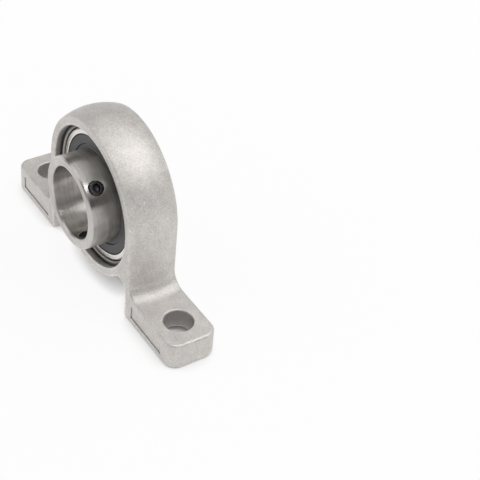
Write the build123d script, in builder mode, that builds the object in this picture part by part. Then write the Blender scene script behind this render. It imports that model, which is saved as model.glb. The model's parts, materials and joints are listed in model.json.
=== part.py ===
from build123d import *
from math import cos, radians, sin, sqrt
import os

# Pillow block bearing for a 25 mm shaft, in millimetres.
# X runs from foot to foot, Y along the shaft with the long end of the inner ring at -Y, Z up.
# The origin is on the base plane, under the shaft axis, in the mid-plane of the housing.

# Housing
shaft_height = 32.0
ring_wall = 3.0
crown_radius = 22.5
foot_height = 10.0
bolt_spacing = 90.0
bolt_hole_d = 10.0
bolt_hole_rim = 0.3
bolt_end_wall = 5.5
foot_corner_radius = 4.5
shoulder_fillet = 5.0
edge_fillet = 1.0
base_relief = 1.75

# Recesses between the ring and the feet, on both sides of a central web
web_thickness = 4.2
recess_corner_radius = 3.8
recess_floor_fillet = 1.0
recess_side_flat = 0.4
mould_draft = 2.0

# Pocket under each foot and framed panel on its front
pocket_end_rim = 3.8
pocket_side_rim = 3.2
pocket_depth = 2.8
pocket_corner_radius = 1.0
panel_depth = 0.3
panel_inner_gap = 3.9
panel_outer_gap = 1.9
panel_rim = 2.6

# Spherical seat in the housing, its ledge and the counterbore outside it
seat_overhang = 0.8
seat_clearance = 0.04
ledge_inset = 0.24
ledge_gap = 0.4
ledge_width = 1.1
counterbore_depth = 2.6
counterbore_rim = 0.4
slot_side_clearance = 0.2
slot_floor_clearance = 0.1

# Bearing rings, from the shaft outwards; the lands are the rings' edges beside the balls
shaft_d = 25.0
inner_ring_wall = 3.4
inner_land_gap = 2.1
outer_land_gap = 2.2
outer_ring_wall = 3.3
outer_ring_chamfer = 0.4
inner_ring_chamfer = 0.5

# Balls and the raceways that hold them
ball_count = 10
ball_d = 6.35
race_clearance = 0.02
race_conformity = 1.04

# Two-part ribbon cage and its rivets
cage_inner_gap = 0.7
cage_outer_gap = 0.8
cage_sheet = 0.5
cage_pocket_clearance = 0.125
rivet_shank_d = 1.0
rivet_head_d = 1.9
rivet_head_height = 0.35

# Lip seals and the grooves that hold them
cage_seal_gap = 0.4
seal_groove_width = 1.1
seal_groove_wall = 0.7
seal_groove_depth = 0.9
seal_groove_lip = 0.25
seal_mouth_chamfer = 0.15
seal_sink = 0.3
seal_step_depth = 0.55
seal_step_width = 1.45
seal_clearance = 0.03
seal_lip_clearance = 0.05
seal_edge_gap = 0.15
seal_lip_width = 0.6
seal_plate_sheet = 0.4
seal_plate_inner_gap = 1.0
seal_plate_outer_gap = 0.6

# Set screws
screw_d = 5.0
screw_clearance = 0.04
screw_length = 4.0
screw_ring_gap = 5.8
screw_end_wall = 4.2
screw_angles = {"set_screw_a": 49.0, "set_screw_b": -71.0}
screw_shaft_gap = 0.1
screw_socket_size = 2.5
screw_socket_depth = 1.8
screw_edge_chamfer = 0.4
screw_cup_d = 2.5
screw_cup_depth = 0.5
screw_hole_sink = 0.25

# How far a cut runs past the face it opens, and how far off an edge may lie from where it is sought
cut_overrun = 1.0
edge_search = 0.01

# Radii that follow, from the shaft outwards
shaft_radius = shaft_d / 2
inner_ring_radius = shaft_radius + inner_ring_wall
ball_radius = ball_d / 2
pitch_radius = inner_ring_radius + inner_land_gap
outer_land_radius = pitch_radius + outer_land_gap
outer_ring_radius = outer_land_radius + outer_ring_wall
race_radius = ball_radius * race_conformity
pocket_radius = ball_radius + cage_pocket_clearance
cage_inner_radius = inner_ring_radius + cage_inner_gap
cage_outer_radius = outer_land_radius - cage_outer_gap
seal_groove_radius = outer_land_radius + seal_groove_depth
seal_mouth_radius = seal_groove_radius - seal_groove_lip
seal_step_radius = inner_ring_radius + seal_step_width
seal_plate_inner_radius = inner_ring_radius + seal_plate_inner_gap
seal_plate_outer_radius = seal_groove_radius - seal_plate_outer_gap
seat_radius = outer_ring_radius + seat_clearance
ledge_radius = seat_radius - ledge_inset
counterbore_radius = ledge_radius + ledge_width
face_radius = counterbore_radius + ring_wall

# Places along the shaft that follow, from the mid-plane outwards
seal_inner_face = pocket_radius + cage_sheet + cage_seal_gap
seal_groove_outer_face = seal_inner_face + seal_groove_width
ring_half_width = seal_groove_outer_face + seal_groove_wall
seal_outer_face = ring_half_width - seal_sink
seal_step_face = seal_outer_face - seal_step_depth
screw_offset = ring_half_width + screw_ring_gap
inner_ring_front = screw_offset + screw_end_wall
seat_half_width = ring_half_width - seat_overhang
ledge_offset = ring_half_width + ledge_gap
half_width = ledge_offset + counterbore_depth

# Sizes of the housing that follow
housing_radius = face_radius + crown_radius - sqrt(crown_radius**2 - half_width**2)
half_length = bolt_spacing / 2 + bolt_hole_d / 2 + bolt_end_wall
recess_depth = half_width - web_thickness / 2
foot_inner_x = face_radius - edge_fillet - recess_side_flat
foot_length = half_length - foot_inner_x
foot_centre_x = foot_inner_x + foot_length / 2
panel_length = foot_length - panel_inner_gap - foot_corner_radius - panel_outer_gap
panel_height = foot_height - 2 * panel_rim
ball_step = 360 / ball_count
sides = (-1, 1)
far = 4 * half_length

# The shaft axis, the half section through it (x along the shaft, y the radius)
# and the mid-plane of the bearing seen from the front.
shaft_centre = (0, 0, shaft_height)
shaft_axis = Axis(shaft_centre, (0, 1, 0))
section = Plane(origin=shaft_centre, x_dir=(0, 1, 0), z_dir=(1, 0, 0))
mid_plane = Plane(origin=shaft_centre, x_dir=(1, 0, 0), z_dir=(0, -1, 0))
rear_plane = Plane(origin=shaft_centre, x_dir=(-1, 0, 0), z_dir=(0, 1, 0))

os.makedirs("parts", exist_ok=True)


def save(solid, name):
    """Label a finished piece and write it to its own file."""
    solid.label = name
    export_step(solid, f"parts/{name}.step")


def radial_plane(angle, y):
    """A plane whose normal leaves the shaft axis at this angle, at this place along the shaft."""
    outward = (cos(radians(angle)), 0, sin(radians(angle)))
    return Plane(origin=(0, y, shaft_height), x_dir=(0, 1, 0), z_dir=outward)


def edges_at_y(part, y):
    """The edges of a part that lie in one plane across the shaft."""
    return part.edges().filter_by_position(Axis.Y, y - edge_search, y + edge_search)


def ball_centre(index):
    """The centre of one ball on the pitch circle."""
    angle = radians(90 + index * ball_step)
    return (pitch_radius * cos(angle), 0, shaft_height + pitch_radius * sin(angle))


# Housing: one casting with a ring, two feet and a thin web between them. The sides of the ring
# and of the neck under it bulge between the two faces.
with BuildPart() as housing:
    with BuildSketch(section):
        with BuildLine():
            ThreePointArc((-half_width, face_radius), (0, housing_radius), (half_width, face_radius))
            Polyline((half_width, face_radius),
                     (half_width, 0),
                     (-half_width, 0),
                     (-half_width, face_radius))
        make_face()
    revolve(axis=shaft_axis)
    with BuildSketch(Plane.XY):
        with BuildLine():
            ThreePointArc((face_radius, -half_width), (housing_radius, 0), (face_radius, half_width))
            Line((face_radius, half_width), (0, half_width))
            Line((0, -half_width), (face_radius, -half_width))
            mirror(about=Plane.YZ)
        make_face()
    extrude(amount=shaft_height)
    with BuildSketch(Plane.XY):
        RectangleRounded(2 * half_length, 2 * half_width, foot_corner_radius)
    extrude(amount=foot_height)
    top_edges = housing.edges().filter_by_position(Axis.Z, foot_height, foot_height)
    neck_arcs = top_edges.filter_by_position(Axis.X, -housing_radius, housing_radius)
    fillet(neck_arcs.filter_by(GeomType.CIRCLE), shoulder_fillet)
    rims = housing.faces().filter_by(Axis.Y).edges()
    ends = housing.faces().sort_by(Axis.X)[0].edges() + housing.faces().sort_by(Axis.X)[-1].edges()
    fillet(rims + ends.filter_by(Axis.Y), edge_fillet)

    # Recess on each side of the web, under the ring and between the feet. Both halves of the
    # mould also reach in under the web, so that the block stands on its feet alone.
    for side in sides:
        face_plane = Plane(origin=(0, side * half_width, 0), x_dir=(-side, 0, 0), z_dir=(0, side, 0))
        with BuildSketch(face_plane) as recess:
            Rectangle(2 * foot_inner_x, shaft_height, align=(Align.CENTER, Align.MIN))
            with Locations((0, shaft_height)):
                Circle(face_radius, mode=Mode.SUBTRACT)
            inner_corners = recess.vertices().group_by(Axis.Y)[-1]
            fillet(inner_corners, recess_corner_radius)
        extrude(amount=-recess_depth, taper=mould_draft, mode=Mode.SUBTRACT)
        floor_edges = edges_at_y(housing, side * web_thickness / 2)
        fillet(floor_edges.filter_by_position(Axis.Z, base_relief, far), recess_floor_fillet)
        with BuildSketch(face_plane):
            Rectangle(2 * foot_inner_x, 2 * base_relief)
        extrude(amount=-half_width, taper=mould_draft, mode=Mode.SUBTRACT)

    # Pocket in the underside of each foot, the bolt hole through its top, and the panel on its front
    with BuildSketch(Plane.XY):
        with Locations((-foot_centre_x, 0), (foot_centre_x, 0)):
            RectangleRounded(foot_length - 2 * pocket_end_rim,
                             2 * (half_width - pocket_side_rim),
                             pocket_corner_radius)
    extrude(amount=pocket_depth, taper=mould_draft, mode=Mode.SUBTRACT)
    with BuildSketch(Plane.XY.offset(foot_height)):
        with Locations((-bolt_spacing / 2, 0), (bolt_spacing / 2, 0)):
            Circle(bolt_hole_d / 2)
    extrude(amount=-foot_height, mode=Mode.SUBTRACT)
    top_edges = housing.edges().filter_by_position(Axis.Z, foot_height, foot_height)
    chamfer(top_edges.filter_by(GeomType.CIRCLE), bolt_hole_rim)
    panel_x = foot_inner_x + panel_inner_gap + panel_length / 2
    with BuildSketch(Plane.XZ.offset(half_width)):
        with Locations((-panel_x, foot_height / 2), (panel_x, foot_height / 2)):
            Rectangle(panel_length, panel_height)
    extrude(amount=-panel_depth, mode=Mode.SUBTRACT)

    # Spherical seat with a tapered lead-in and a counterbore at each face
    seat_edge_radius = sqrt(seat_radius**2 - seat_half_width**2)
    with BuildSketch(section) as seat:
        with BuildLine():
            Polyline((-seat_half_width, seat_edge_radius),
                     (-ledge_offset, ledge_radius),
                     (-ledge_offset, counterbore_radius),
                     (-half_width - cut_overrun, counterbore_radius),
                     (-half_width - cut_overrun, 0),
                     (half_width + cut_overrun, 0),
                     (half_width + cut_overrun, counterbore_radius),
                     (ledge_offset, counterbore_radius),
                     (ledge_offset, ledge_radius),
                     (seat_half_width, seat_edge_radius))
            ThreePointArc((seat_half_width, seat_edge_radius),
                          (0, seat_radius),
                          (-seat_half_width, seat_edge_radius))
        make_face()
    revolve(axis=shaft_axis, mode=Mode.SUBTRACT)
    for side in sides:
        face_circles = edges_at_y(housing, side * half_width).filter_by(GeomType.CIRCLE)
        mouth = face_circles.filter_by(lambda edge: abs(edge.radius - counterbore_radius) < edge_search)
        fillet(mouth, counterbore_rim)

    # Two slots from the rear face let the outer ring in edgeways, before it is turned square
    with BuildSketch(rear_plane):
        Circle(seat_radius + slot_floor_clearance)
        Rectangle(2 * housing_radius, 2 * (ring_half_width + slot_side_clearance), mode=Mode.INTERSECT)
    extrude(amount=half_width, mode=Mode.SUBTRACT)

save(housing.part, "housing")

# Outer ring: spherical outside, ball groove inside, and a groove for a seal at each end
with BuildPart() as outer_ring:
    with BuildSketch(section) as profile:
        Circle(outer_ring_radius)
        with Locations((0, outer_land_radius)):
            Rectangle(2 * ring_half_width, outer_ring_radius,
                      align=(Align.CENTER, Align.MIN),
                      mode=Mode.INTERSECT)
        outer_corners = profile.vertices().group_by(Axis.Y)[-1]
        chamfer(outer_corners, outer_ring_chamfer)
        with Locations((0, pitch_radius + ball_radius + race_clearance - race_radius)):
            Circle(race_radius, mode=Mode.SUBTRACT)
        for side in sides:
            with BuildLine():
                Polyline((side * seal_inner_face, 0),
                         (side * seal_inner_face, seal_groove_radius),
                         (side * seal_groove_outer_face, seal_groove_radius),
                         (side * seal_groove_outer_face, seal_mouth_radius),
                         (side * (ring_half_width - seal_mouth_chamfer), seal_mouth_radius),
                         (side * ring_half_width, seal_mouth_radius + seal_mouth_chamfer),
                         (side * ring_half_width, 0),
                         close=True)
            make_face(mode=Mode.SUBTRACT)
    revolve(axis=shaft_axis)

save(outer_ring.part, "outer_ring")

# Inner ring: long at the front, where two tapped holes take the set screws
with BuildPart() as inner_ring:
    with BuildSketch(section) as profile:
        with Locations((-inner_ring_front, shaft_radius)):
            Rectangle(inner_ring_front + ring_half_width,
                      inner_ring_wall,
                      align=(Align.MIN, Align.MIN))
        chamfer(profile.vertices(), inner_ring_chamfer)
        with Locations((0, pitch_radius - ball_radius - race_clearance + race_radius)):
            Circle(race_radius, mode=Mode.SUBTRACT)
    revolve(axis=shaft_axis)
    for angle in screw_angles.values():
        with Locations(radial_plane(angle, -screw_offset).offset(inner_ring_radius)):
            CounterSinkHole(screw_d / 2 + screw_clearance,
                            screw_d / 2 + screw_hole_sink,
                            depth=inner_ring_wall + shaft_radius / 2)

save(inner_ring.part, "inner_ring")

# Balls, numbered round from the top of the bearing
for index in range(ball_count):
    with BuildPart() as ball:
        with Locations(ball_centre(index)):
            Sphere(ball_radius)
    save(ball.part, f"ball_{index + 1:02d}")


def ribbon_half(plane):
    """One pressed half of the cage, on the side of the mid-plane that the plane's normal points to."""
    with BuildPart() as half:
        with BuildSketch(plane):
            Circle(cage_outer_radius)
            Circle(cage_inner_radius, mode=Mode.SUBTRACT)
        extrude(amount=cage_sheet)
        with Locations([ball_centre(index) for index in range(ball_count)]):
            Sphere(pocket_radius + cage_sheet, rotation=(90, 0, 0))
        with BuildSketch(plane):
            Circle(cage_outer_radius)
            Circle(cage_inner_radius, mode=Mode.SUBTRACT)
        extrude(amount=pitch_radius, mode=Mode.INTERSECT)
        with Locations([ball_centre(index) for index in range(ball_count)]):
            Sphere(pocket_radius, rotation=(90, 0, 0), mode=Mode.SUBTRACT)
        with BuildSketch(plane):
            with PolarLocations(pitch_radius, ball_count, start_angle=90 + ball_step / 2):
                Circle(rivet_shank_d / 2)
        extrude(amount=cage_sheet, mode=Mode.SUBTRACT)
    return half.part


# Cage: two ribbon halves that meet between the balls, held by a rivet in each space
save(ribbon_half(mid_plane), "cage_front")
save(ribbon_half(rear_plane), "cage_rear")

with BuildPart() as rivets:
    for plane in (mid_plane, rear_plane):
        with BuildSketch(plane):
            with PolarLocations(pitch_radius, ball_count, start_angle=90 + ball_step / 2):
                Circle(rivet_shank_d / 2)
        extrude(amount=cage_sheet)
        with BuildSketch(plane.offset(cage_sheet)):
            with PolarLocations(pitch_radius, ball_count, start_angle=90 + ball_step / 2):
                Circle(rivet_head_d / 2)
        extrude(amount=rivet_head_height)
        heads = edges_at_y(rivets, plane.z_dir.Y * (cage_sheet + rivet_head_height))
        fillet(heads, rivet_head_height / 2)

save(rivets.part, "cage_rivets")


def seal(side):
    """The rubber of one lip seal, with the seat for its steel plate open to the balls."""
    lip_radius = inner_ring_radius + seal_lip_clearance
    bead_radius = seal_groove_radius - seal_clearance
    edge_radius = seal_mouth_radius - seal_edge_gap
    points = (
        (seal_inner_face, seal_plate_outer_radius),
        (seal_inner_face, bead_radius),
        (seal_groove_outer_face - seal_clearance, bead_radius),
        (seal_groove_outer_face - seal_clearance, edge_radius),
        (seal_outer_face, edge_radius - seal_edge_gap),
        (seal_outer_face, seal_step_radius + seal_edge_gap),
        (seal_step_face, seal_step_radius - seal_edge_gap),
        (seal_step_face, lip_radius + seal_lip_width),
        (seal_outer_face - seal_edge_gap, lip_radius),
        (seal_step_face - seal_edge_gap, lip_radius),
        (seal_inner_face + seal_plate_sheet, seal_plate_inner_radius),
        (seal_inner_face + seal_plate_sheet, seal_plate_outer_radius),
    )
    with BuildPart() as rubber:
        with BuildSketch(section):
            with BuildLine():
                Polyline(*[(side * along, radius) for along, radius in points], close=True)
            make_face()
        revolve(axis=shaft_axis)
    return rubber.part


def seal_plate(side):
    """The flat steel washer that stiffens one seal."""
    with BuildPart() as plate:
        with BuildSketch(mid_plane.offset(-side * seal_inner_face)):
            Circle(seal_plate_outer_radius)
            Circle(seal_plate_inner_radius, mode=Mode.SUBTRACT)
        extrude(amount=-side * seal_plate_sheet)
    return plate.part


# Seals: the front one is at -Y
save(seal(-1), "seal_front")
save(seal(1), "seal_rear")
save(seal_plate(-1), "seal_front_plate")
save(seal_plate(1), "seal_rear_plate")


def set_screw(angle):
    """A grub screw with a hexagon socket and a cup point, standing clear of the shaft."""
    tip = radial_plane(angle, -screw_offset).offset(shaft_radius + screw_shaft_gap)
    with BuildPart() as screw:
        with BuildSketch(tip):
            Circle(screw_d / 2)
        extrude(amount=screw_length)
        chamfer(screw.edges().filter_by(GeomType.CIRCLE), screw_edge_chamfer)
        with BuildSketch(tip.offset(screw_length)):
            RegularPolygon(screw_socket_size / 2, 6, major_radius=False)
        extrude(amount=-screw_socket_depth, mode=Mode.SUBTRACT)
        with BuildSketch(tip):
            Circle(screw_cup_d / 2)
        extrude(amount=screw_cup_depth, taper=45, mode=Mode.SUBTRACT)
    return screw.part


for name, angle in screw_angles.items():
    save(set_screw(angle), name)
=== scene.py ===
import json
import math

import bpy
from mathutils import Matrix, Vector


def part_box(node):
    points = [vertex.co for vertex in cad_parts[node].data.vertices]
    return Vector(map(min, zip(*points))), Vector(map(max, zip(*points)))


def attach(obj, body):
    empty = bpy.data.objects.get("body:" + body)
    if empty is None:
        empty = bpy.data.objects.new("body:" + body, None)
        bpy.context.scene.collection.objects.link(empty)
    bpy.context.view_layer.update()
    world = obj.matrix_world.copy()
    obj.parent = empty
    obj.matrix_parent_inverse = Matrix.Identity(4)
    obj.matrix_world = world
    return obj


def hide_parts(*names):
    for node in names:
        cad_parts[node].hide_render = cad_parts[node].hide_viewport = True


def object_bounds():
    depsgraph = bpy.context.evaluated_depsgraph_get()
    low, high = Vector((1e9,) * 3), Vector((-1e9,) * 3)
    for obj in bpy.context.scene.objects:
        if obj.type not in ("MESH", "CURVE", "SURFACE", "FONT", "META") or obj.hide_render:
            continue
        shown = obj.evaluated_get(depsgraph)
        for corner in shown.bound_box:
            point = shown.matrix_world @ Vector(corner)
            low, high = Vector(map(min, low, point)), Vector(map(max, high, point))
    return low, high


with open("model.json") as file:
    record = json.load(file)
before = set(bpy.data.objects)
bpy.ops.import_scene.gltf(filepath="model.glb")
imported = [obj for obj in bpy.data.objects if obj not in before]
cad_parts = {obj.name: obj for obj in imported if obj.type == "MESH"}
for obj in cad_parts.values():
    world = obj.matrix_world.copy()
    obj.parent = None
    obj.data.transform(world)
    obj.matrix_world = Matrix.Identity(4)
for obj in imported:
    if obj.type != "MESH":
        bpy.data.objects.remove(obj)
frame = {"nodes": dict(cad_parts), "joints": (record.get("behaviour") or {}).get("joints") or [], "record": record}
cad_box = [list(corner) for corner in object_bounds()]
nodes = frame["nodes"]

# Pillow block bearing: the scene is in metres, and the materials count in millimetres.
MM = 0.001
ring_low, ring_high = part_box("inner_ring")
SHAFT_HEIGHT = (ring_low.z + ring_high.z) / 2

# Set screws, M5, in millimetres: each lies along its joint, with its tip this far from the shaft axis
SCREW_AXES = {joint["child"]: Vector(joint["axis"]) for joint in frame["joints"] if joint["type"] == "slide"}
SCREW_TIP = 12.6
SCREW_LENGTH = 4.0
SCREW_RADIUS = 2.5
SCREW_END_CHAMFER = 0.4
THREAD_PITCH = 0.8
THREAD_DEPTH = 0.43
SOCKET_WIDTH = 2.5
SOCKET_DEPTH = 1.8
SOCKET_MOUTH = 0.12
DRILL_POINT = 0.45
CUP_RADIUS = 1.25
CUP_DEPTH = 0.6

# Their thread's form, as shares of half a pitch, and their mesh: points round, rows along, and the angle in
# degrees from which an edge stays sharp
THREAD_ROOT_SHARE = 1 / 4
THREAD_FLANK_SHARE = 5 / 8
SCREW_SIDES = 60
SCREW_ROWS = 80
SHARP_ANGLE = 35.0

# Housing, in millimetres: its bolt holes, the edge of the counterbore round the bearing, and the distances
# past their walls between which their painted shade ends
mount_sizes = {mount["name"]: mount["dims"] for mount in frame["record"]["mounts"]}
BOLT_PLACE = mount_sizes["foot_bolts"]["spacing_x_mm"] / 2
BOLT_HOLE_RADIUS = mount_sizes["foot_bolts"]["hole_r_mm"]
COUNTERBORE_RADIUS = 24.4
HOLLOW_EDGE = 0.1
HOLLOW_END = 0.3

# Seals, in millimetres: the stretch of their outer edge where the painted shade of the gap to the outer ring
# begins
SEAL_SHADE_START = 19.6
SEAL_SHADE_FULL = 20.2

# Most of a noise's values lie between these two
NOISE_LOW = 0.3
NOISE_HIGH = 0.7

# Camera: where it stands, and the directions of its picture's right and down sides
CAMERA_PLACE = Vector((279.8, -159.43, 281.35)) * MM
CAMERA_RIGHT = Vector((0.54786, 0.83199, 0.0874))
CAMERA_DOWN = Vector((0.57218, -0.29644, -0.76468))
CAMERA_LENS = 91.29

# Floor, in metres: its tone, its glow beside the object, which is full from the far distance on, and how
# far off the object still darkens it
FLOOR_RADIUS = 3.0
FLOOR_SIDES = 96
FLOOR_DROP = 0.02 * MM
FLOOR_TONE = 0.85
FLOOR_GLOW = 0.92
GLOW_NEAR = 0.05
GLOW_FAR = 0.40
CONTACT_REACH = 9 * MM

# Studio walls: the tones of the horizon, the dark card over it and the ceiling, and the heights between
# them, as the sine of the angle over the horizon
HORIZON_TONE = 1.0
CARD_TONE = 0.04
CEILING_TONE = 0.50
HORIZON_TOP = 0.22
CARD_LOW = 0.24
CARD_HIGH = 0.50
CEILING_LOW = 0.66


class Tree:
    """Short calls that fill one node tree."""

    def __init__(self, owner):
        owner.use_nodes = True
        self.tree = owner.node_tree
        self.tree.nodes.clear()

    def add(self, kind, inputs=None, **settings):
        node = self.tree.nodes.new(kind)
        for key, value in settings.items():
            setattr(node, key, value)
        for key, value in (inputs or {}).items():
            if isinstance(value, bpy.types.NodeSocket):
                self.tree.links.new(value, node.inputs[key])
            else:
                node.inputs[key].default_value = value
        return node

    def math(self, operation, a, b=0.0, clamp=False):
        return self.add("ShaderNodeMath", {0: a, 1: b}, operation=operation, use_clamp=clamp).outputs[0]

    def plus(self, a, b):
        return self.math("ADD", a, b)

    def times(self, a, b):
        return self.math("MULTIPLY", a, b)

    def level(self, *shifts):
        """A middle level moved up or down by each of the shifts, held between 0 and 1."""
        total = shifts[0]
        for shift in shifts[1:]:
            total = self.plus(total, shift)
        return self.math("ADD", total, 0.5, clamp=True)

    def remap(self, value, low, high, to_low=0.0, to_high=1.0):
        """The value between low and high, spread evenly over the new range and held inside it."""
        ends = {"Value": value, "From Min": low, "From Max": high, "To Min": to_low, "To Max": to_high}
        return self.add("ShaderNodeMapRange", ends).outputs[0]

    def between(self, noise, low, high):
        """A value that goes from low to high with the noise."""
        return self.remap(noise, NOISE_LOW, NOISE_HIGH, low, high)

    def noise(self, vector, scale, detail, roughness, w=None):
        """Soft random values round 0.5, with about as many blobs to a millimetre as the scale says."""
        inputs = {"Vector": vector, "Scale": scale, "Detail": detail, "Roughness": roughness}
        dimensions = "3D"
        if w is not None:
            inputs["W"] = w
            dimensions = "4D"
        return self.add("ShaderNodeTexNoise", inputs, noise_dimensions=dimensions).outputs[0]

    def cells(self, vector, scale):
        """Distance from the nearest of many scattered points, in cells; the scale is cells to a millimetre."""
        return self.add("ShaderNodeTexVoronoi", {"Vector": vector, "Scale": scale}).outputs["Distance"]

    def blend(self, factor, a, b):
        """A colour between a and b."""
        mix = self.add("ShaderNodeMix", data_type="RGBA")
        for socket, value in zip((mix.inputs[0], mix.inputs[6], mix.inputs[7]), (factor, a, b)):
            if isinstance(value, bpy.types.NodeSocket):
                self.tree.links.new(value, socket)
            else:
                socket.default_value = value
        return mix.outputs[2]

    def bump(self, height, depth_mm, normal=None):
        """A normal that is tilted as by relief of this depth, over another normal where one is given."""
        inputs = {"Height": height, "Distance": depth_mm * MM, "Strength": 1.0}
        if normal is not None:
            inputs["Normal"] = normal
        return self.add("ShaderNodeBump", inputs).outputs[0]

    def millimetres(self):
        """Places on the piece, in millimetres, that move with it."""
        place = self.add("ShaderNodeTexCoord").outputs["Object"]
        scaled = self.add("ShaderNodeVectorMath", {0: place, "Scale": 1 / MM}, operation="SCALE")
        return scaled.outputs["Vector"]

    def rounded(self, radius_mm):
        """A normal that is rounded over at the edges."""
        return self.add("ShaderNodeBevel", {"Radius": radius_mm * MM}, samples=8).outputs[0]

    def edge_mask(self, rounded, low, high):
        """0 on flat stretches and 1 along sharp edges, from how far the rounded normal turns."""
        flat = self.add("ShaderNodeNewGeometry").outputs["Normal"]
        agree = self.add("ShaderNodeVectorMath", {0: rounded, 1: flat}, operation="DOT_PRODUCT")
        return self.remap(agree.outputs["Value"], high, low)

    def rim_mask(self, reach_mm, low, high):
        """0 where the piece is thick all round and 1 along its outside edges, rounded ones too."""
        reach = {"Distance": reach_mm * MM}
        edges = self.add("ShaderNodeAmbientOcclusion", reach, samples=8, inside=True, only_local=True)
        return self.remap(edges.outputs["AO"], high, low)

    def corner_mask(self, reach_mm, low, high, own=True):
        """0 in the open and 1 in inside corners, of the piece alone or also of what stands near it."""
        reach = {"Distance": reach_mm * MM}
        corners = self.add("ShaderNodeAmbientOcclusion", reach, samples=8, only_local=own)
        return self.remap(corners.outputs["AO"], high, low)


def colour(tone, warmth=0.0):
    """A grey, slightly warm where warmth is above 0."""
    return (tone * (1 + warmth), tone, tone * (1 - warmth), 1.0)


def new_material(name):
    material = bpy.data.materials.new(name)
    return material, Tree(material)


def finish_material(tree, material, inputs):
    shader = tree.add("ShaderNodeBsdfPrincipled", inputs)
    tree.add("ShaderNodeOutputMaterial", {"Surface": shader.outputs[0]})
    return material


def shaft_coordinates(tree, place):
    """Place along the shaft, distance from the shaft axis, and the cosine and sine of the angle round it."""
    parts = tree.add("ShaderNodeSeparateXYZ", {0: place})
    x, y = parts.outputs["X"], parts.outputs["Y"]
    z = tree.math("SUBTRACT", parts.outputs["Z"], SHAFT_HEIGHT / MM)
    radius = tree.math("SQRT", tree.plus(tree.times(x, x), tree.times(z, z)))
    over_zero = tree.math("MAXIMUM", radius, 0.1)
    return y, radius, tree.math("DIVIDE", x, over_zero), tree.math("DIVIDE", z, over_zero)


def turning_lines(tree, place, pitch_mm, turn_detail):
    """Noise drawn out round the shaft, like the marks of a lathe or a grinding wheel."""
    y, radius, cosine, sine = shaft_coordinates(tree, place)
    across = tree.add("ShaderNodeCombineXYZ", {
        "X": tree.math("DIVIDE", y, pitch_mm),
        "Y": tree.math("DIVIDE", radius, pitch_mm),
        "Z": tree.times(cosine, turn_detail),
    }).outputs[0]
    return tree.noise(across, 1.0, 3.0, 0.6, w=tree.times(sine, turn_detail))


def hollows(tree, place):
    """Two masks of the housing: 1 in the counterbore, and 1 there and in the two bolt holes."""
    parts = tree.add("ShaderNodeSeparateXYZ", {0: place})
    beside = tree.math("SUBTRACT", tree.math("ABSOLUTE", parts.outputs["X"]), BOLT_PLACE)
    flat = tree.add("ShaderNodeCombineXYZ", {"X": beside, "Y": parts.outputs["Y"]}).outputs[0]
    off_bolt = tree.add("ShaderNodeVectorMath", {0: flat}, operation="LENGTH").outputs["Value"]
    off_shaft = shaft_coordinates(tree, place)[1]
    in_hole = tree.remap(off_bolt, BOLT_HOLE_RADIUS + HOLLOW_END, BOLT_HOLE_RADIUS + HOLLOW_EDGE)
    in_seat = tree.remap(off_shaft, COUNTERBORE_RADIUS + HOLLOW_END, COUNTERBORE_RADIUS + HOLLOW_EDGE)
    return in_seat, tree.math("MAXIMUM", in_hole, in_seat)


def cast_metal():
    """Die-cast alloy, blasted to a fine even grain, with soft mottling, a painted highlight along the edges and
    painted shade in corners and hollows.
    """
    material, tree = new_material("housing_casting")
    place = tree.millimetres()
    mottle = tree.noise(place, 0.38, 4.0, 0.62)
    grain = tree.noise(place, 2.2, 4.0, 0.7)
    patchy = tree.noise(place, 0.9, 3.0, 0.6)
    pits = tree.remap(tree.cells(place, 0.42), 0.03, 0.08)
    # Painted highlight: the outside edges and fillets are painted lighter, in patches, and made a little glossier
    edge_highlight = tree.times(tree.rim_mask(1.3, 0.45, 0.90), tree.remap(patchy, 0.38, 0.60, 0.35, 1.0))

    cloud = tree.noise(place, 0.10, 3.0, 0.55)
    speckle = tree.remap(grain, 0.25, 0.75, -0.40, 0.40)
    speckle = tree.times(speckle, tree.remap(patchy, 0.35, 0.65, 0.5, 1.2))
    level = tree.level(tree.between(cloud, -0.07, 0.07), tree.between(mottle, -0.10, 0.10),
                       speckle, tree.times(edge_highlight, 0.42))
    base = tree.blend(level, colour(0.38, 0.045), colour(0.88, 0.040))
    nicks = tree.remap(tree.cells(place, 0.20), 0.035, 0.060)
    base = tree.blend(nicks, colour(0.92, 0.03), base)
    base = tree.blend(pits, colour(0.36, 0.04), base)

    # Painted shade: inside corners, the counterbore, the bolt holes and the gap round the bearing are painted
    # darker, where shade falls
    in_seat, in_hollow = hollows(tree, place)
    hollow_shade = tree.times(tree.corner_mask(6.0, 0.52, 0.98), in_hollow)
    gap_shade = tree.times(tree.corner_mask(1.0, 0.35, 0.85, own=False), in_seat)
    base = tree.blend(tree.corner_mask(6.0, 0.30, 0.80), base, colour(0.20, 0.04))
    base = tree.blend(tree.corner_mask(0.9, 0.35, 0.80), base, colour(0.12, 0.04))
    base = tree.blend(hollow_shade, base, colour(0.06, 0.03))
    base = tree.blend(gap_shade, base, colour(0.01))

    normal = tree.bump(mottle, 0.10, tree.rounded(0.45))
    normal = tree.bump(grain, 0.07, normal)
    normal = tree.bump(tree.noise(place, 7.0, 2.0, 0.6), 0.015, normal)
    normal = tree.bump(pits, 0.05, normal)
    rough = tree.plus(tree.between(mottle, 0.50, 0.60), tree.times(edge_highlight, -0.20))
    return finish_material(tree, material, {
        "Base Color": base, "Metallic": 0.80, "Roughness": rough, "Normal": normal,
    })


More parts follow.
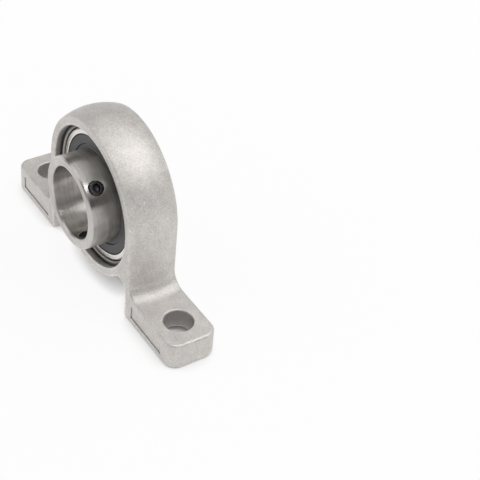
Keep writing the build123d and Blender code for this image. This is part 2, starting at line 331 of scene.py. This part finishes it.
def turned_steel(name, tone, roughness, pitch_mm, depth_mm, anisotropy):
    """Bearing steel with fine marks that run round the shaft, with a painted highlight along its edges and painted
    shade in its corners.
    """
    material, tree = new_material(name)
    place = tree.millimetres()
    lines = turning_lines(tree, place, pitch_mm, 1.6)
    bands = turning_lines(tree, place, pitch_mm * 4, 1.1)
    smudge = tree.noise(place, 0.30, 4.0, 0.65)
    rounded = tree.rounded(0.22)
    # Painted highlight: the edges are painted lighter
    edge_highlight = tree.edge_mask(rounded, 0.80, 0.99)
    level = tree.level(tree.between(lines, -0.18, 0.18), tree.between(bands, -0.14, 0.14),
                       tree.between(smudge, -0.14, 0.14), tree.times(edge_highlight, 0.30))
    base = tree.blend(level, colour(tone * 0.6, 0.07), colour(tone * 1.4, 0.03))
    # Painted shade: darker in inside corners and where other parts stand close
    base = tree.blend(tree.corner_mask(0.8, 0.30, 0.80, own=False), base, colour(tone * 0.12, 0.03))
    rough = tree.plus(tree.between(lines, roughness - 0.03, roughness + 0.04),
                      tree.remap(smudge, 0.35, 0.7, -0.02, 0.05))
    normal = tree.bump(lines, depth_mm, rounded)
    around = tree.add("ShaderNodeTangent", direction_type="RADIAL", axis="Y").outputs[0]
    return finish_material(tree, material, {
        "Base Color": base, "Metallic": 1.0, "Roughness": rough, "Normal": normal,
        "Anisotropic": anisotropy, "Anisotropic Rotation": 0.25, "Tangent": around,
    })


def rubber():
    """Matt moulded rubber with fine ripples round the shaft, a little dust, and painted shade at its outer rim."""
    material, tree = new_material("seal_rubber")
    place = tree.millimetres()
    ripples = turning_lines(tree, place, 0.35, 1.5)
    grain = tree.noise(place, 6.0, 3.0, 0.6)
    dust = tree.noise(place, 0.35, 4.0, 0.65)
    base = tree.blend(tree.remap(dust, 0.4, 0.75), (0.052, 0.053, 0.055, 1), (0.095, 0.095, 0.098, 1))
    # Painted shade: the outer rim is painted near black next to the outer ring
    at_rim = tree.remap(shaft_coordinates(tree, place)[1], SEAL_SHADE_START, SEAL_SHADE_FULL)
    gap_shade = tree.times(tree.corner_mask(0.7, 0.52, 0.96, own=False), at_rim)
    base = tree.blend(gap_shade, base, (0.004, 0.004, 0.004, 1))
    rough = tree.between(dust, 0.38, 0.54)
    normal = tree.bump(ripples, 0.010, tree.rounded(0.15))
    normal = tree.bump(grain, 0.012, normal)
    return finish_material(tree, material, {"Base Color": base, "Roughness": rough, "Normal": normal})


def black_oxide():
    """Black oxide on steel, with a patchy painted highlight along the edges and painted shade in the socket and
    beside other parts.
    """
    material, tree = new_material("black_steel")
    place = tree.millimetres()
    wear_and_glint = tree.noise(place, 1.8, 4.0, 0.65)
    grain = tree.noise(place, 9.0, 2.0, 0.6)
    rounded = tree.rounded(0.16)
    # Painted highlight: the edges are painted light grey, in patches
    edge_highlight = tree.times(tree.edge_mask(rounded, 0.75, 0.99), tree.remap(wear_and_glint, 0.38, 0.62, 0.35, 1.0))
    base = tree.blend(edge_highlight, (0.038, 0.038, 0.041, 1), (0.62, 0.61, 0.60, 1))
    # Painted shade: near black in the socket and where the screw meets other parts
    base = tree.blend(tree.corner_mask(1.2, 0.30, 0.70, own=False), base, (0.004, 0.004, 0.004, 1))
    rough = tree.between(wear_and_glint, 0.22, 0.34)
    normal = tree.bump(grain, 0.006, rounded)
    return finish_material(tree, material, {
        "Base Color": base, "Metallic": 0.7, "Roughness": rough, "Normal": normal,
    })


def hidden_steel(name, tone, roughness, grain_scale, depth_mm):
    """Plain steel of a piece inside the bearing: polished, or pressed from sheet."""
    material, tree = new_material(name)
    place = tree.millimetres()
    grain = tree.noise(place, grain_scale, 3.0, 0.6)
    film = tree.noise(place, 0.5, 3.0, 0.6)
    base = tree.blend(tree.between(film, 0, 1), colour(tone * 0.85, 0.01), colour(tone * 1.1, 0.01))
    rough = tree.between(film, roughness * 0.85, roughness * 1.2)
    return finish_material(tree, material, {
        "Base Color": base, "Metallic": 1.0, "Roughness": rough, "Normal": tree.bump(grain, depth_mm),
    })


MATERIALS = {
    "housing_casting": cast_metal(),
    "outer_ring_steel": turned_steel("outer_ring_steel", tone=0.72, roughness=0.26, pitch_mm=0.10,
                                     depth_mm=0.004, anisotropy=0.5),
    "inner_ring_steel": turned_steel("inner_ring_steel", tone=0.52, roughness=0.31, pitch_mm=0.16,
                                     depth_mm=0.005, anisotropy=0.85),
    "ball_steel": hidden_steel("ball_steel", tone=0.72, roughness=0.06, grain_scale=2.0, depth_mm=0.001),
    "cage_steel": hidden_steel("cage_steel", tone=0.52, roughness=0.32, grain_scale=5.0, depth_mm=0.010),
    "rivet_steel": hidden_steel("rivet_steel", tone=0.48, roughness=0.36, grain_scale=6.0, depth_mm=0.012),
    "seal_rubber": rubber(),
    "seal_plate_steel": hidden_steel("seal_plate_steel", tone=0.45, roughness=0.34, grain_scale=5.0,
                                     depth_mm=0.010),
    "black_steel": black_oxide(),
}
for part in frame["record"]["subparts"]:
    mesh = nodes[part["node"]].data
    mesh.materials.clear()
    mesh.materials.append(MATERIALS[part["material_slot"]])


def thread_radius(height, turn):
    """Radius of a screw's side at this height over its tip and this part of a turn round it.

    Half a pitch, from the middle of the root to the middle of the crest, is first flat, then the flank, then
    flat again.
    """
    from_root = abs(2 * ((height / THREAD_PITCH - turn) % 1.0) - 1)
    tooth = min(1.0, max(0.0, (from_root - THREAD_ROOT_SHARE) / THREAD_FLANK_SHARE))
    chamfered = SCREW_RADIUS - SCREW_END_CHAMFER + min(height, SCREW_LENGTH - height)
    return min(SCREW_RADIUS - THREAD_DEPTH * (1 - tooth), chamfered)


def hexagon_radius(width, turn):
    """Distance from the middle of a hexagon to its side, in this direction."""
    side_angle = math.tau / 6
    return width / 2 / math.cos((turn * math.tau) % side_angle - side_angle / 2)


def screw_loops():
    """The turns of a ring's points, and the rings, as (radius, height) for each turn.

    The rings go from the tip's cup up the thread and down into the socket.
    """
    turns = [i / SCREW_SIDES for i in range(SCREW_SIDES)]
    heights = [SCREW_LENGTH * row / SCREW_ROWS for row in range(SCREW_ROWS + 1)]
    loops = [[(CUP_RADIUS, 0.0) for turn in turns]]
    loops += [[(thread_radius(height, turn), height) for turn in turns] for height in heights]
    mouth = SOCKET_WIDTH + 2 * SOCKET_MOUTH
    loops.append([(hexagon_radius(mouth, turn), SCREW_LENGTH) for turn in turns])
    loops.append([(hexagon_radius(SOCKET_WIDTH, turn), SCREW_LENGTH - SOCKET_MOUTH) for turn in turns])
    loops.append([(hexagon_radius(SOCKET_WIDTH, turn), SCREW_LENGTH - SOCKET_DEPTH) for turn in turns])
    return turns, loops


def add_set_screw(node, outward):
    """A threaded grub screw with a hexagon socket and a cup point, standing where its plain node is."""
    turns, loops = screw_loops()
    along = Vector((0, 1, 0))
    around = outward.cross(along)
    low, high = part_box(node)
    tip = Vector((0, (low.y + high.y) / 2, SHAFT_HEIGHT)) + outward * SCREW_TIP * MM

    def point(radius, turn, height):
        side = along * math.cos(turn * math.tau) + around * math.sin(turn * math.tau)
        return tip + (side * radius + outward * height) * MM

    points = [point(radius, turn, height) for loop in loops for turn, (radius, height) in zip(turns, loop)]
    faces = []
    for row in range(len(loops) - 1):
        for i in range(SCREW_SIDES):
            start, following = row * SCREW_SIDES, (i + 1) % SCREW_SIDES
            faces.append((start + i, start + following,
                          start + SCREW_SIDES + following, start + SCREW_SIDES + i))
    last = (len(loops) - 1) * SCREW_SIDES
    cup, drill = len(points), len(points) + 1
    points += [point(0, 0, CUP_DEPTH), point(0, 0, SCREW_LENGTH - SOCKET_DEPTH - DRILL_POINT)]
    for i in range(SCREW_SIDES):
        following = (i + 1) % SCREW_SIDES
        faces.append((following, i, cup))
        faces.append((last + i, last + following, drill))

    mesh = bpy.data.meshes.new(node + "_threaded")
    mesh.from_pydata(points, [], faces)
    mesh.shade_smooth()
    mesh.set_sharp_from_angle(angle=math.radians(SHARP_ANGLE))
    mesh.materials.append(MATERIALS["black_steel"])
    screw = bpy.data.objects.new(node + "_threaded", mesh)
    bpy.context.scene.collection.objects.link(screw)
    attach(screw, node)
    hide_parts(node)


for node, outward in SCREW_AXES.items():
    add_set_screw(node, outward)


def make_floor():
    """A wide pale floor, which the camera and the metal see lifted towards white, and white far off."""
    mesh = bpy.data.meshes.new("floor")
    height = cad_box[0][2] - FLOOR_DROP
    turns = [math.tau * i / FLOOR_SIDES for i in range(FLOOR_SIDES)]
    corners = [(math.cos(turn) * FLOOR_RADIUS, math.sin(turn) * FLOOR_RADIUS, height) for turn in turns]
    mesh.from_pydata(corners, [], [range(FLOOR_SIDES)])
    floor = bpy.data.objects.new("floor", mesh)
    bpy.context.scene.collection.objects.link(floor)
    material = bpy.data.materials.new("floor")
    tree = Tree(material)
    paper = tree.add("ShaderNodeBsdfDiffuse", {"Color": colour(FLOOR_TONE)})
    glow = tree.add("ShaderNodeEmission", {"Color": colour(1.0), "Strength": 1.0})
    path = tree.add("ShaderNodeLightPath")
    seen = tree.plus(path.outputs["Is Camera Ray"], path.outputs["Is Glossy Ray"])
    seen = tree.math("ADD", seen, path.outputs["Is Transmission Ray"], clamp=True)
    place = tree.add("ShaderNodeTexCoord").outputs["Object"]
    distance = tree.add("ShaderNodeVectorMath", {0: place}, operation="LENGTH").outputs["Value"]
    lift = tree.times(seen, tree.remap(distance, GLOW_NEAR, GLOW_FAR, FLOOR_GLOW, 1.0))
    covered = tree.add("ShaderNodeAmbientOcclusion", {"Distance": CONTACT_REACH}, samples=16).outputs["AO"]
    lift = tree.times(lift, tree.remap(covered, 0.10, 0.75))
    surface = tree.add("ShaderNodeMixShader", {0: lift, 1: paper.outputs[0], 2: glow.outputs[0]})
    tree.add("ShaderNodeOutputMaterial", {"Surface": surface.outputs[0]})
    mesh.materials.append(material)


def make_world():
    """Studio walls: a white horizon, a dark card all round over it for the steel to mirror, and a ceiling."""
    world = bpy.data.worlds.new("studio")
    bpy.context.scene.world = world
    tree = Tree(world)
    direction = tree.add("ShaderNodeTexCoord").outputs["Generated"]
    height = tree.add("ShaderNodeSeparateXYZ", {0: direction}).outputs["Z"]
    ramp = tree.add("ShaderNodeValToRGB", {0: height})
    stops = ramp.color_ramp.elements
    stops[0].position, stops[0].color = HORIZON_TOP, colour(HORIZON_TONE)
    stops[1].position, stops[1].color = CEILING_LOW, colour(CEILING_TONE)
    stops.new(CARD_LOW).color = colour(CARD_TONE)
    stops.new(CARD_HIGH).color = colour(CARD_TONE)
    backdrop = tree.add("ShaderNodeBackground", {"Color": ramp.outputs[0], "Strength": 1.0})
    tree.add("ShaderNodeOutputWorld", {"Surface": backdrop.outputs[0]})


def add_softbox(name, place, size, power):
    """A lamp aimed at the middle of the bearing: its place and size in metres, its power in watts."""
    lamp = bpy.data.lights.new(name, "AREA")
    lamp.shape = "RECTANGLE"
    lamp.size, lamp.size_y = size
    lamp.energy = power
    softbox = bpy.data.objects.new(name, lamp)
    bpy.context.scene.collection.objects.link(softbox)
    softbox.location = place
    towards = Vector((0, 0, SHAFT_HEIGHT)) - Vector(place)
    softbox.rotation_euler = towards.to_track_quat("-Z", "Y").to_euler()


def add_camera():
    camera = bpy.data.objects.new("camera", bpy.data.cameras.new("camera"))
    camera.data.lens = CAMERA_LENS
    camera.data.clip_start = 0.01
    bpy.context.scene.collection.objects.link(camera)
    bpy.context.scene.camera = camera
    backward = CAMERA_RIGHT.cross(-CAMERA_DOWN)
    axes = Matrix((CAMERA_RIGHT, -CAMERA_DOWN, backward)).transposed()
    camera.matrix_world = Matrix.LocRotScale(CAMERA_PLACE, axes.to_quaternion(), None)


make_floor()
make_world()
add_softbox("overhead", place=(-0.2, 0.3, 1.1), size=(1.5, 1.2), power=4.2)
add_softbox("front", place=(-0.55, -0.9, 0.75), size=(0.8, 0.8), power=2.0)
add_softbox("back", place=(0.42, 0.58, 0.98), size=(0.5, 0.5), power=3.1)
add_softbox("side", place=(0.56, -0.05, 1.0), size=(0.3, 0.3), power=1.5)
add_camera()
bpy.context.scene.view_settings.view_transform = "Standard"
